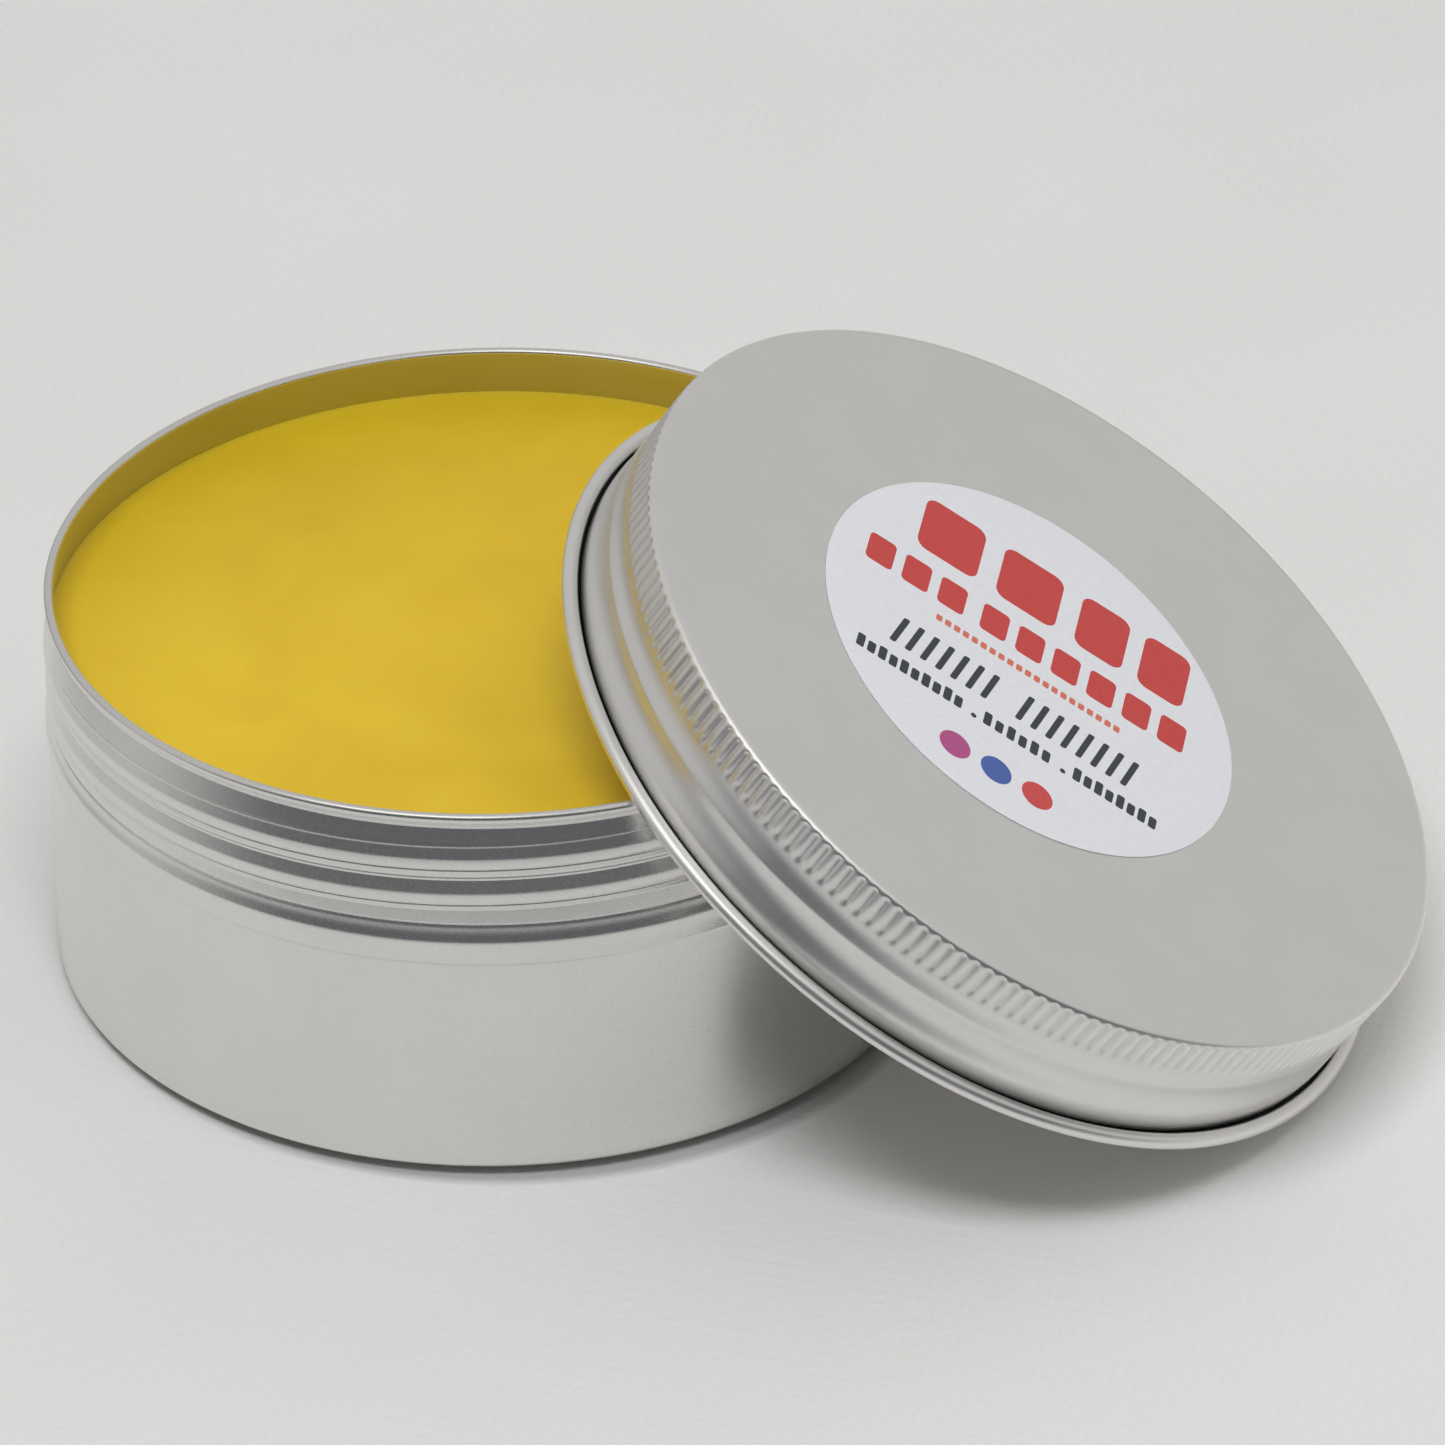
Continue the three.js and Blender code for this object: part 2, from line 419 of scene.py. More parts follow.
# Near-black metal for the curl's seam: painted shade, standing in for the dark gap under the curl.
seam_painted_shade = aluminium("curl_seam_painted_shade", (0.035, 0.035, 0.035), 0.55, 0.006)


# Direction and tint of the painted shade on the wax towards the far left wall.
WAX_FAR_SIDE = (-0.693, 0.639, 0.0)
WAX_PAINTED_SHADE = (0.82, 0.82, 0.45)


def wax_material():
    """Yellow wax, cloudy and faintly grained, with painted shade towards its far left edge by the wall."""
    m, nodes, links, bsdf = material("poured_yellow_wax")
    at = at_node(nodes)
    cloud = noise(nodes, links, at, 0.07, 4.0, 0.5, 0.4)
    grain = noise(nodes, links, at, 3.2, 4.0, 0.65)
    base = mixed(nodes, links, spread(nodes, links, cloud, 0.32, 0.68, 0, 1),
                 (0.76, 0.507, 0.009), (0.84, 0.582, 0.019))
    base = mixed(nodes, links, spread(nodes, links, grain, 0.3, 0.7, 0, 0.3), base, (0.87, 0.64, 0.052))
    across = vector_maths(nodes, links, "DOT_PRODUCT", at, WAX_FAR_SIDE)
    wall_shade = spread(nodes, links, across.outputs["Value"], 2.0, 37.0, 0.0, 1.0)
    base = mixed(nodes, links, wall_shade, base, scaled(nodes, links, base, WAX_PAINTED_SHADE))
    links.new(base, bsdf.inputs["Base Color"])
    links.new(spread(nodes, links, grain, 0.3, 0.7, 0.48, 0.62), bsdf.inputs["Roughness"])
    bsdf.inputs["Subsurface Weight"].default_value = 0.35
    bsdf.inputs["Subsurface Radius"].default_value = (1.0, 0.65, 0.12)
    bsdf.inputs["Subsurface Scale"].default_value = 0.002
    bsdf.inputs["Specular IOR Level"].default_value = 0.4
    links.new(bump(nodes, links, grain, 0.02 * MM), bsdf.inputs["Normal"])
    return m


def paper_material():
    """White label paper, slightly blue, with a faint fibre."""
    m, nodes, links, bsdf = material("coated_label_paper")
    at = at_node(nodes)
    fibre = noise(nodes, links, at, 2.2, 4.0, 0.6)
    links.new(mixed(nodes, links, spread(nodes, links, fibre, 0.3, 0.7, 0, 1),
                    (0.73, 0.747, 0.802), (0.78, 0.797, 0.852)), bsdf.inputs["Base Color"])
    links.new(spread(nodes, links, fibre, 0.3, 0.7, 0.42, 0.52), bsdf.inputs["Roughness"])
    links.new(bump(nodes, links, fibre, 0.006 * MM), bsdf.inputs["Normal"])
    return m


def ink(name, colour):
    """Printing ink, faintly uneven."""
    m, nodes, links, bsdf = material(name)
    at = at_node(nodes)
    dots = noise(nodes, links, at, 5.0, 3.0, 0.6)
    light = tuple(min(1, c * 1.12 + 0.01) for c in colour)
    links.new(mixed(nodes, links, spread(nodes, links, dots, 0.3, 0.7, 0, 1), colour, light),
              bsdf.inputs["Base Color"])
    bsdf.inputs["Roughness"].default_value = 0.45
    links.new(bump(nodes, links, dots, 0.004 * MM), bsdf.inputs["Normal"])
    return m


def foam_material():
    """White foam with closed cells."""
    m, nodes, links, bsdf = material("white_closed_cell_foam")
    at = at_node(nodes)
    cells = nodes.new("ShaderNodeTexVoronoi")
    links.new(at, cells.inputs["Vector"])
    cells.inputs["Scale"].default_value = 3.5
    d = cells.outputs["Distance"]
    links.new(mixed(nodes, links, spread(nodes, links, d, 0.0, 0.7, 0, 1),
                    (0.80, 0.80, 0.78), (0.88, 0.88, 0.86)), bsdf.inputs["Base Color"])
    bsdf.inputs["Roughness"].default_value = 0.85
    links.new(bump(nodes, links, d, 0.05 * MM), bsdf.inputs["Normal"])
    return m


PAINTED_SHADOW_SHADE = 0.6


def floor_material():
    """Pale cloth, with a painted shadow: darker in a soft edge before the tin, like the shadow an overhead
    light leaves.
    """
    m, nodes, links, bsdf = material("pale_cloth_floor")
    coord = nodes.new("ShaderNodeTexCoord").outputs["Object"]
    mm = scaled(nodes, links, coord, (1000, 1000, 1000))
    weave = nodes.new("ShaderNodeTexVoronoi")
    weave.distance = "MANHATTAN"
    weave.inputs["Randomness"].default_value = 0.15
    links.new(scaled(nodes, links, mm, (0.9, 0.62, 1.0)), weave.inputs["Vector"])
    weave.inputs["Scale"].default_value = 1.0
    soft = noise(nodes, links, mm, 0.02, 3.0, 0.5)
    grain = noise(nodes, links, mm, 1.6, 4.0, 0.6)
    base = mixed(nodes, links, spread(nodes, links, soft, 0.3, 0.7, 0, 1),
                 (0.80, 0.802, 0.804), (0.83, 0.832, 0.836))
    # Painted shadow: a soft darker ring on the cloth in front of the tin's base.
    shadow_centre = toward * 1.0 + sideways * 1.3
    ring = vector_maths(nodes, links, "DISTANCE", scaled(nodes, links, mm, (1, 1, 0)), shadow_centre)
    edge = spread(nodes, links, ring.outputs["Value"], BODY_R - 0.8, BODY_R + 0.4, PAINTED_SHADOW_SHADE, 1.0)
    links.new(shaded(nodes, links, base, edge), bsdf.inputs["Base Color"])
    bsdf.inputs["Roughness"].default_value = 0.9
    n = bump(nodes, links, weave.outputs["Distance"], 0.06 * MM, 0.6)
    n = bump(nodes, links, grain, 0.13 * MM, 0.8, n)
    links.new(n, bsdf.inputs["Normal"])
    return m


# ---------------------------------------------------------------- tin

TIN_STEPS, WAX_STEPS = 320, 240
TIN_WALL = 0.35
BASE_EDGE_R, BASE_EDGE_Z = 0.42, 0.90
BASE_CORNER_R = 1.8
RIM_CURL_R, RIM_CURL_CENTRE_R = 0.4, 38.6

# Outlines of the cup from the base up: distance out from the straight wall, then height.
UNDERCUT = ((-2.6, 0.0), (-2.3, 0.02), (-1.4, 0.18), (-0.8, 0.36))
STRAIGHT_WALL = ((0.0, 8), (0.0, 15), (0.0, 21.2), (0.0, 21.52), (-0.022, 21.62))
STOP_BEAD = ((0.004, 21.72), (0.02, 21.95), (0.06, 22.35), (0.095, 22.7), (STOP_BEAD_OUT, 22.95),
             (STOP_BEAD_OUT, 23.45), (0.09, 23.72), (0.055, 23.88))
SHOULDER = ((-0.005, 24.05), (-0.07, 24.25), (-0.13, 24.48), (-0.17, 24.7), (-0.205, 24.95), (-0.225, 25.1),
            (-0.25, 25.19), (-0.31, 25.29), (-0.325, 25.335), (-0.29, 25.39), (-0.235, 25.44))
# Collar between the thread and the rolled rim: radius, then height.
COLLAR = ((38.655, 34.87), (38.735, 34.91), (38.77, 34.98), (38.78, 35.1), (38.778, 35.18), (38.772, 35.25),
          (38.79, 35.3), (38.85, 35.35), (38.92, 35.43), (38.965, 35.54), (38.985, 35.68))


def neck(z, steps):
    """Outside radius of the neck at one level, all round."""
    return neck_radius(np.full(steps, float(z)), np.arange(steps) * TURN / steps)


def tin_cup():
    """The cup in one skin: up the outside, over the rim, then down the inside in a rougher metal, darker as
    painted shade.
    """
    n = TIN_STEPS
    skin = Skin()
    skin.pole(0.0)
    skin.outline(((12.0, 0.0), (24.0, 0.0), (33.0, 0.0)), n)
    skin.outline([(BODY_R + out, z) for out, z in UNDERCUT], n)
    skin.outline(arc(BODY_R - BASE_EDGE_R, BASE_EDGE_Z, BASE_EDGE_R, -112, 0, 9), n)
    skin.outline([(BODY_R + out, z) for out, z in STRAIGHT_WALL + STOP_BEAD + SHOULDER], n)
    for z in np.arange(25.5, NECK_TOP - 0.03, 0.06):
        skin.ring(neck(z, n), z, n)
    skin.outline(COLLAR, n)
    skin.outline(arc(RIM_CURL_CENTRE_R, RIM_TOP - RIM_CURL_R, RIM_CURL_R, 0, 180, 18), n)
    # The inside takes the darker metal: painted shade.
    skin.finish = 1
    skin.outline(((RIM_CURL_CENTRE_R - RIM_CURL_R, 35.3), (NECK_TOP_R - 0.36, 34.9)), n)
    for z in np.arange(34.7, 29.5, -0.2):
        skin.ring(neck(z, n) - TIN_WALL, z, n)
    for z in (29.0, 28.0, 27.0, 26.0):
        skin.ring(NECK_R - TIN_WALL, z, n)
    skin.ring(BODY_R - TIN_WALL, 23.6, n)
    inside_corner = BASE_CORNER_R - TIN_WALL
    skin.outline(arc(BODY_R - BASE_CORNER_R, BASE_CORNER_R, inside_corner, 0, -90, 6), n)
    skin.ring(20.0, TIN_WALL, n)
    skin.pole(TIN_WALL)
    return skin_piece("tin_cup_shell", skin, TIN, tin_metal, inside_metal_painted_shade)


WAX_EDGE_RISE = 0.35
WAX_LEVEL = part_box("wax_fill")[1].z / MM - WAX_EDGE_RISE
WAX_R = BODY_R - 0.25
WAX_FOOT = 0.45
WAX_CONTACT_RISE = 0.42
WAVE_HEIGHT = 0.05
# Where the wax climbs the wall: distance in from the wall, then height above the level.
MENISCUS = ((0.0, 0.40), (0.08, 0.335), (0.2, 0.27), (0.4, 0.20), (0.7, 0.14), (1.1, 0.085), (1.6, 0.04),
            (2.2, 0.01), (3.0, 0.0))


def wax():
    """The poured wax: a little into the thread's hollows at the wall, and faintly wavy on top."""
    n = WAX_STEPS
    a = np.arange(n) * TURN / n
    rng = np.random.default_rng(WAVE_SEED)
    waves = [(rng.uniform(0.03, 0.16), rng.uniform(0, TURN), rng.uniform(0, TURN)) for _ in range(14)]

    def lie(x, y):
        """Height of the surface above its level, from waves of many lengths and directions."""
        h = sum(math.sin(0.7 * i) * np.sin(f * (x * math.cos(d) + y * math.sin(d)) + p) / (1 + 12 * f)
                for i, (f, d, p) in enumerate(waves, 1))
        return WAVE_HEIGHT * h

    def wall(z):
        return neck(z, n) - TIN_WALL

    skin = Skin()
    skin.pole(WAX_FOOT)
    skin.ring(20.0, WAX_FOOT, n)
    skin.outline(arc(WAX_R - BASE_CORNER_R, WAX_FOOT + BASE_CORNER_R, BASE_CORNER_R, -90, 0, 5), n)
    skin.outline(((WAX_R, 23.0), (38.72, 25.8)), n)
    edge = WAX_LEVEL + WAX_CONTACT_RISE
    for below, overlap in ((1.2, 0.05), (0.6, 0.08), (0.0, 0.10)):
        skin.ring(wall(edge - below) + overlap, edge - below, n)
    for inward, rise in MENISCUS:
        r = wall(edge) - inward
        skin.ring(r, WAX_LEVEL + rise + (inward > 0.5) * lie(r * np.cos(a), r * np.sin(a)), n)
    for r in np.linspace(34.5, 1.0, 52):
        skin.ring(r, WAX_LEVEL + lie(r * np.cos(a), r * np.sin(a)), n)
    skin.pole(WAX_LEVEL + float(lie(0.0, 0.0)))
    return skin_piece("poured_wax", skin, TIN, wax_material())


cup = tin_cup()
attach(cup, "tin")
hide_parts("tin_cup")
fill = wax()
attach(fill, "tin")
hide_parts("wax_fill")

# ---------------------------------------------------------------- lid

RIBS, RIB_DEPTH = 192, 0.19
FINE = RIBS * 12
COARSE = RIBS * 2
LID_R, LID_TOP, CORNER, LID_WALL, SKIRT_R = 39.95, 11.91, 0.62, 0.3, 39.88
CURL_R, CURL_CENTRE_R = 0.69, 40.81
SKIRT_FLARE, FOOT_INSET = 0.07, 0.03
GRIP_LEVELS = (7.65, 7.8, 7.95, 8.1, 8.25, 8.4, 8.55, 8.7, 9.8, 10.9, 11.15, 11.22)
# Inside of the skirt's foot and the open seam where the curl meets the skirt: radius, then height.
INSIDE_FOOT = ((39.58, 0.9), (39.58, 0.45), (39.62, 0.15), (39.74, -0.13), (39.93, -0.36), (40.15, -0.5))
SEAM = ((40.13, 0.17), (40.1, 0.06), (40.05, -0.02), (39.98, -0.03), (39.91, 0.05), (39.87, 0.17),
        (39.86, 0.28))


def rib_cut(n, z):
    """Depth of the vertical grooves of the grip band at one level, all round."""
    a = np.arange(n) * RIBS / n
    wave = 0.5 - 0.5 * np.cos(TURN * a)
    window = smoothstep(z, 7.65, 8.7) * (1 - smoothstep(z, 11.15, 11.7))
    return RIB_DEPTH * wave**1.5 * window


def groove_round(n, z):
    """The thread's radial offset at one level, all round."""
    return lid_thread(np.full(n, z), np.arange(n) * TURN / n)


def skirt(z):
    """Radius of the skirt's outside above its foot, without thread and ribs."""
    return SKIRT_R + SKIRT_FLARE * smoothstep(z, 6.2, 8.5)


def lid_shell():
    """The lid in one skin: down the inside, round the curl and its seam, then up the outside."""
    n = COARSE
    skin = Skin()
    skin.pole(LID_TOP - LID_WALL)
    skin.outline(((20.0, LID_TOP - LID_WALL), (36.0, LID_TOP - LID_WALL)), n)
    skin.outline(arc(LID_R - CORNER, LID_TOP - CORNER, CORNER - LID_WALL, 90, 0, 6), n)
    skin.outline(((LID_R - LID_WALL, 8.6), (LID_R - LID_WALL - 0.02, 8.3)), n)
    for z in np.arange(8.0, 1.2, -0.4):
        skin.ring(SKIRT_R - LID_WALL + groove_round(n, z), z, n)
    skin.outline(INSIDE_FOOT, n)
    skin.outline(arc(CURL_CENTRE_R, 0.0, CURL_R, -125, 158, 26), n)
    # The seam's faces take the near-black metal: painted shade in the gap where the curl meets the skirt.
    skin.finish = 1
    skin.outline(SEAM, n)
    skin.finish = 0
    for z in [0.42, 0.6, 0.8, 1.0, 1.2] + np.arange(1.36, 7.6, 0.16).tolist():
        foot = smoothstep(z, 0.4, 1.3)
        skin.ring(skirt(z) - FOOT_INSET * (1 - foot) + foot * groove_round(n, z), z, n)
    for z in GRIP_LEVELS:
        skin.ring(skirt(z) + groove_round(FINE, z) - rib_cut(FINE, z), z, FINE)
    for r, z in arc(LID_R - CORNER, LID_TOP - CORNER, CORNER, 0, 80, 9):
        skin.ring(r - rib_cut(FINE, z), z, FINE)
    skin.ring(LID_R - CORNER + 0.1, LID_TOP - 0.004, n)
    for r in (39.0, 38.0, 36.0, 30.0, 22.0, 12.0):
        skin.ring(r, LID_TOP, n)
    skin.pole(LID_TOP)
    return skin_piece("lid_shell_ribbed", skin, LID, lid_metal, seam_painted_shade)


LINER_STEPS, LINER_R, LINER_EDGE_R = 192, 39.2, 0.25
LINER_DEPTH, LINER_THICKNESS = 0.85, 0.83


def liner():
    """The sealing disc: soft lower edge, almost touching the lid's top."""
    n = LINER_STEPS
    low = LID_TOP - LID_WALL - LINER_DEPTH
    high = low + LINER_THICKNESS
    skin = Skin()
    skin.pole(low)
    skin.outline([(r, low) for r in (10, 20, 30, 37, 38.6)], n)
    skin.outline(arc(LINER_R - LINER_EDGE_R, low + LINER_EDGE_R, LINER_EDGE_R, -90, 0, 4), n)
    skin.outline(((LINER_R, low + 0.7), (LINER_R - 0.3, high), (20, high)), n)
    skin.pole(high)
    return skin_piece("lid_foam_disc", skin, LID, foam_material())


lid = lid_shell()
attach(lid, "lid")
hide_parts("lid_shell")
disc = liner()
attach(disc, "lid_liner")
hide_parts("lid_liner")

# ---------------------------------------------------------------- label

LABEL_STEPS, LABEL_R = 256, 20.8
LABEL_AT = Vector((-1.8, -0.2, LID_TOP)) * MM
PRINT_TURN = math.radians(6.0)
LABEL = LID @ Matrix.Translation(LABEL_AT) @ Matrix.Rotation(PRINT_TURN, 4, "Z")
PAPER_BOTTOM, PAPER_TOP, PAPER_EDGE_R = 0.004, 0.10, 0.05
INK_GAP, INK_THICKNESS = 0.001, 0.008


def label_disc():
    """The paper label, on the lid's top."""
    n = LABEL_STEPS
    skin = Skin()
    skin.pole(PAPER_BOTTOM)
    skin.ring(LABEL_R - 0.02, PAPER_BOTTOM, n)
    skin.outline(arc(LABEL_R - PAPER_EDGE_R, PAPER_TOP - PAPER_EDGE_R, PAPER_EDGE_R, 0, 90, 4), n)
    skin.outline([(r, PAPER_TOP) for r in (18, 14, 9, 4)], n)
    skin.pole(PAPER_TOP)
    return skin_piece("lid_paper_label", skin, LABEL, paper_material())


def rounded(x0, y0, x1, y1, radius, lean=0.0):
    """Outline of a rounded block; lean shifts its top sideways."""
    radius = min(radius, (x1 - x0) / 2, (y1 - y0) / 2)
    out = []
    for cx, cy, start in ((x1 - radius, y0 + radius, -90), (x1 - radius, y1 - radius, 0),
                          (x0 + radius, y1 - radius, 90), (x0 + radius, y0 + radius, 180)):
        for k in range(5):
            t = math.radians(start + 22.5 * k)
            x, y = cx + radius * math.cos(t), cy + radius * math.sin(t)
            out.append((x + lean * (y - y0), y))
    return out


def round_dot(x, y, radius, n=40):
    """Outline of a round dot."""
    return [(x + radius * math.cos(TURN * k / n), y + radius * math.sin(TURN * k / n)) for k in range(n)]


def printed(name, outlines, colour):
    """Thin raised ink shapes on the paper."""
    points, faces = [], []
    for outline in outlines:
        n, start = len(outline), len(points)
        points += [(x, y, PAPER_TOP + INK_GAP) for x, y in outline]
        points += [(x, y, PAPER_TOP + INK_GAP + INK_THICKNESS) for x, y in outline]
        faces.append([start + i for i in range(n)][::-1])
        faces.append([start + n + i for i in range(n)])
        faces += [[start + i, start + (i + 1) % n, start + n + (i + 1) % n, start + n + i]
                  for i in range(n)]
    obj = piece(name, points, faces, LABEL, ink(name + "_ink", colour), smooth=False)
    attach(obj, "lid")


label = label_disc()
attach(label, "lid")
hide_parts("lid_label")

# Printing that spells nothing: plain blocks, strokes and dots, in millimetres from the label's middle.
HEADING_RED = (0.52, 0.040, 0.036)
LINE_RED = (0.62, 0.15, 0.09)
DARK = (0.022, 0.029, 0.037)
LARGE_BLOCKS = ((-13.2, -7.0), (-5.0, 1.2), (3.2, 8.2), (9.8, 14.6))
SMALL_BLOCKS, SMALL_WIDTH = (-17.4, -13.7, -10.0, -5.6, -1.9, 1.8, 5.5, 9.2, 12.9), 2.7
STROKE_GROUPS, STROKE_STEP = ((-13.2, 7), (-0.3, 8)), 1.55
TICK_GROUPS, TICK_STEP, TICK_WIDTH = ((-16.0, -4.9), (-3.0, 4.2), (6.2, 15.1)), 1.15, 0.78
DASH_STEP, DASH_WIDTH, STROKE_WIDTH = 0.92, 0.62, 0.62
DOTS = (("plum", -4.9, (0.40, 0.06, 0.22)), ("blue", -0.7, (0.045, 0.10, 0.36)),
        ("red", 3.5, (0.55, 0.05, 0.05)))


def strokes():
    """One row of leaning strokes, in groups."""
    return [rounded(x, -7.7, x + STROKE_WIDTH, -3.8, 0.2, 0.22)
            for start, count in STROKE_GROUPS for x in start + STROKE_STEP * np.arange(count)]


def ticks():
    """One row of short ticks in groups, with a small point between the groups."""
    row = []
    for x0, x1 in TICK_GROUPS:
        count = round((x1 - x0) / TICK_STEP)
        for k in range(count):
            x = x0 + k * (x1 - x0) / count
            row.append(rounded(x, -10.9, x + TICK_WIDTH, -9.2 - 0.25 * (k % 2), 0.2))
    return row + [round_dot(x, -10.7, 0.28, 16) for x in (-3.95, 5.2)]


large = [rounded(x0, 6.7, x1, 13.9, 1.1) for x0, x1 in LARGE_BLOCKS]
small = [rounded(x, 1.0, x + SMALL_WIDTH, 4.7, 0.5) for x in SMALL_BLOCKS]
dashes = [rounded(x, -1.45, x + DASH_WIDTH, -0.65, 0.15) for x in np.arange(-9.6, 9.6, DASH_STEP)]
printed("label_print_heading", large + small, HEADING_RED)
printed("label_print_fine_line", dashes, LINE_RED)
printed("label_print_dark_rows", strokes() + ticks(), DARK)
for tag, x, colour in DOTS:
    printed("label_dot_" + tag, [round_dot(x, -15.8, 1.55)], colour)

# ---------------------------------------------------------------- floor, light, camera

CAMERA_AT = Vector((0.1975, -0.6444, 0.4519))
CAMERA_TO = Vector((0.01927, 0.005286, 0.02045))
toward = Vector((CAMERA_AT.x - CAMERA_TO.x, CAMERA_AT.y - CAMERA_TO.y, 0)).normalized()
sideways = Vector((-toward.y, toward.x, 0))


def sheet(name, points, columns, mat):
    """A staged mesh from rows of points, each row with the same number of columns."""
    rows = len(points) // columns
    faces = [[j * columns + i, j * columns + i + 1, (j + 1) * columns + i + 1, (j + 1) * columns + i]
             for j in range(rows - 1) for i in range(columns - 1)]
    mesh = bpy.data.meshes.new(name)
    mesh.from_pydata(points, [], faces)
    mesh.materials.append(mat)
    obj = bpy.data.objects.new(name, mesh)
    bpy.context.scene.collection.objects.link(obj)
    return obj


FLOOR_SIZE, FLOOR_SQUARES, FLOOR_Z = 6.0, 12, -0.00045


def floor():
    """A cloth floor just below the part, so that a thin shadow shows under the tin's edge."""
    line = np.linspace(-FLOOR_SIZE / 2, FLOOR_SIZE / 2, FLOOR_SQUARES + 1)
    x, y = np.meshgrid(line, line)
    points = np.column_stack((x.ravel(), y.ravel(), np.full(x.size, FLOOR_Z))).tolist()
    sheet("floor", points, len(line), floor_material())


floor()

# The dark card's section, from the tin outwards: distance and height in metres, then how much of the
# card there is on the camera's left and on its right.
CARD_SECTION = ((0.085, 0.002, 0.0, 0.0), (0.11, 0.002, 0.8, 0.0), (0.14, 0.002, 1.0, 0.1),
                (0.17, 0.002, 1.0, 1.0), (0.3, 0.003, 1.0, 1.0), (0.5, 0.02, 1.0, 1.0),
                (0.55, 0.06, 1.0, 1.0), (0.62, 0.12, 1.0, 1.0), (0.66, 0.25, 1.0, 1.0),
                (0.66, 0.42, 1.0, 1.0), (0.64, 0.55, 0.5, 0.5), (0.6, 0.68, 0.0, 0.0))
CARD_TURNS = np.linspace(-186, 98, 95)
CARD_GLOW = (0.11, 0.113, 0.123, 1)


def card_cover(d, z, left, right):
    """How much of the card there is at one point: d is in degrees from the camera to its right."""
    section = left + (right - left) * smoothstep(d, 38, 68)
    flat = 1 - smoothstep(z, 0.01, 0.06)
    thin = (0.02 + (0.56 - 0.28 * smoothstep(d, -112, -82)) * flat) * smoothstep(d, -186, -158)
    rising = smoothstep(z, 0.02, 0.2)
    side = thin + (1 - thin) * smoothstep(d, -85 + 27 * rising, -45 + 15 * rising)
    end = 10 + 54 * (1 - smoothstep(z, 0.1, 0.4))
    return float(section * side * (1 - smoothstep(d, end, end + 22)))


def card_material():
    """A dark glow where the attribute "cover" is 1, and nothing where it is 0."""
    m = bpy.data.materials.new("dark_card")
    m.use_nodes = True
    nodes, links = m.node_tree.nodes, m.node_tree.links
    nodes.clear()
    out = nodes.new("ShaderNodeOutputMaterial")
    glow = nodes.new("ShaderNodeEmission")
    glow.inputs["Color"].default_value = CARD_GLOW
    clear = nodes.new("ShaderNodeBsdfTransparent")
    mix = nodes.new("ShaderNodeMixShader")
    cover = nodes.new("ShaderNodeAttribute")
    cover.attribute_name = "cover"
    links.new(cover.outputs["Fac"], mix.inputs["Fac"])
    links.new(clear.outputs["BSDF"], mix.inputs[1])
    links.new(glow.outputs["Emission"], mix.inputs[2])
    links.new(mix.outputs["Shader"], out.inputs["Surface"])
    return m


def dark_card():
    """A dark reflector in front, seen only in the metal: flat on the floor, then rising."""
    points, cover = [], []
    for distance, z, left, right in CARD_SECTION:
        for d, t in zip(CARD_TURNS, np.radians(CARD_TURNS)):
            p = toward * (distance * math.cos(t)) + sideways * (distance * math.sin(t))
            points.append((p.x, p.y, z))
            cover.append(card_cover(d, z, left, right))
    obj = sheet("dark_card", points, len(CARD_TURNS), card_material())
    attribute = obj.data.attributes.new("cover", "FLOAT", "POINT")
    attribute.data.foreach_set("value", np.array(cover, np.float32))
    obj.visible_camera = obj.visible_diffuse = obj.visible_shadow = False
    obj.visible_transmission = obj.visible_volume_scatter = False


dark_card()


def softbox(name, at, to, size, power, colour, glossy, diffuse):
    """A rectangular light of so many watts; glossy and diffuse say which surfaces it lights."""
    data = bpy.data.lights.new(name, "AREA")
    data.shape = "RECTANGLE"
    data.size, data.size_y = size
    data.energy = power
    data.color = colour
    obj = bpy.data.objects.new(name, data)
    bpy.context.scene.collection.objects.link(obj)
    obj.location = at
    obj.rotation_mode = "QUATERNION"
    obj.rotation_quaternion = (to - at).to_track_quat("-Z", "Y")
    obj.visible_camera = False
    obj.visible_glossy, obj.visible_diffuse = glossy, diffuse


def around(front, side, up):
    """A place given from the object's middle: towards the camera, to the camera's right, and up."""
    return toward * front + sideways * side + Vector((0, 0, up))


def direction(left, up):
    """A place one metre from the object's middle: degrees to the camera's left, and above the floor."""
    left, up = math.radians(left), math.radians(up)
    return around(math.cos(up) * math.cos(left), -math.cos(up) * math.sin(left), math.sin(up))


MIDDLE = Vector((0.06, -0.02, 0))
KEY_AT, KEY_SIZE = MIDDLE + direction(16, 66) * 1.8, (1.05, 0.42)
FILL_TO, FILL_SIZE = Vector((0.02, 0, 0.02)), (0.7, 0.6)
KEY_WATTS, GLINT_WATTS, FILL_WATTS = 15.9, 6.4, 1.1
WHITE, WARM_WHITE = (1, 1, 1), (1, 0.99, 0.97)
softbox("softbox_key", KEY_AT, MIDDLE, KEY_SIZE, KEY_WATTS, WHITE, False, True)
softbox("softbox_glint", KEY_AT, MIDDLE, KEY_SIZE, GLINT_WATTS, WHITE, True, False)
softbox("softbox_fill", direction(26, 48), FILL_TO, FILL_SIZE, FILL_WATTS, WARM_WHITE, True, False)


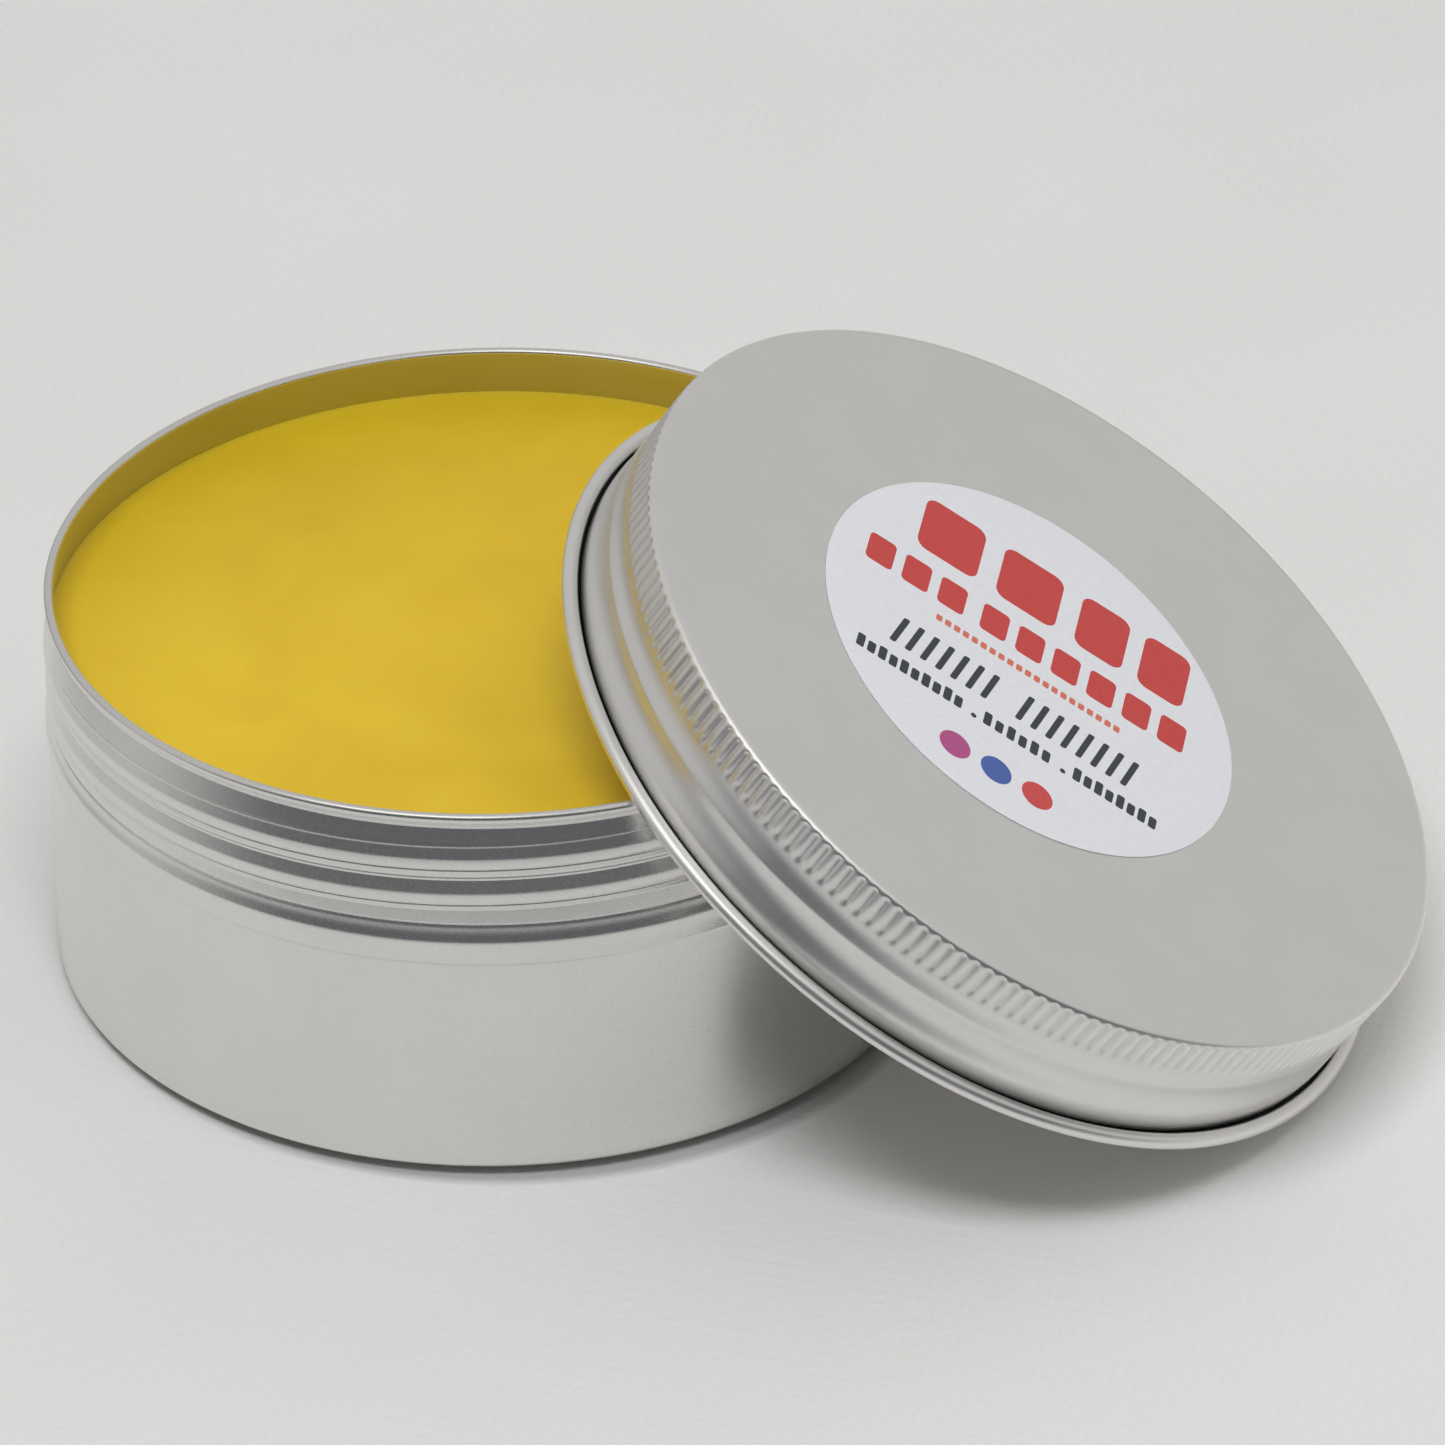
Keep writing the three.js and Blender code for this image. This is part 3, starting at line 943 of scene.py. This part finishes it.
SEEN_STRENGTH, LIT_LEAST, LIT_MOST = 0.56, 0.25, 0.70


def studio():
    """Even surroundings for reflections; as light, warm and stronger from behind and from the right."""
    world = bpy.data.worlds.new("studio")
    bpy.context.scene.world = world
    world.use_nodes = True
    nodes, links = world.node_tree.nodes, world.node_tree.links
    seen = nodes["Background"]
    seen.inputs["Color"].default_value = (1.0, 0.99, 0.97, 1)
    seen.inputs["Strength"].default_value = SEEN_STRENGTH
    lit = nodes.new("ShaderNodeBackground")
    lit.inputs["Color"].default_value = (1.0, 0.97, 0.93, 1)
    ray = nodes.new("ShaderNodeTexCoord").outputs["Generated"]
    brightest = (sideways * 0.86 - toward * 0.5).normalized()
    facing = vector_maths(nodes, links, "DOT_PRODUCT", ray, brightest)
    strength = spread(nodes, links, facing.outputs["Value"], -0.5, 0.6, LIT_LEAST, LIT_MOST)
    links.new(strength, lit.inputs["Strength"])
    mix = nodes.new("ShaderNodeMixShader")
    links.new(nodes.new("ShaderNodeLightPath").outputs["Is Diffuse Ray"], mix.inputs["Fac"])
    links.new(seen.outputs["Background"], mix.inputs[1])
    links.new(lit.outputs["Background"], mix.inputs[2])
    links.new(mix.outputs["Shader"], nodes["World Output"].inputs["Surface"])


studio()

SENSOR_WIDTH, LENS = 36.0, 226.48
ROLL = math.radians(-0.37)


def camera():
    """The camera at the photo's place, rolled very slightly."""
    data = bpy.data.cameras.new("camera")
    data.sensor_width, data.lens = SENSOR_WIDTH, LENS
    data.clip_start, data.clip_end = 0.05, 20
    obj = bpy.data.objects.new("camera", data)
    bpy.context.scene.collection.objects.link(obj)
    forward = (CAMERA_TO - CAMERA_AT).normalized()
    level = forward.cross(Vector((0, 0, 1))).normalized()
    upright = level.cross(forward)
    right = math.cos(ROLL) * level + math.sin(ROLL) * upright
    up = math.cos(ROLL) * upright - math.sin(ROLL) * level
    turned = Matrix((right, up, -forward)).transposed().to_4x4()
    turned.translation = CAMERA_AT
    obj.matrix_world = turned
    bpy.context.scene.camera = obj


camera()
bpy.context.scene.view_settings.view_transform = "Standard"
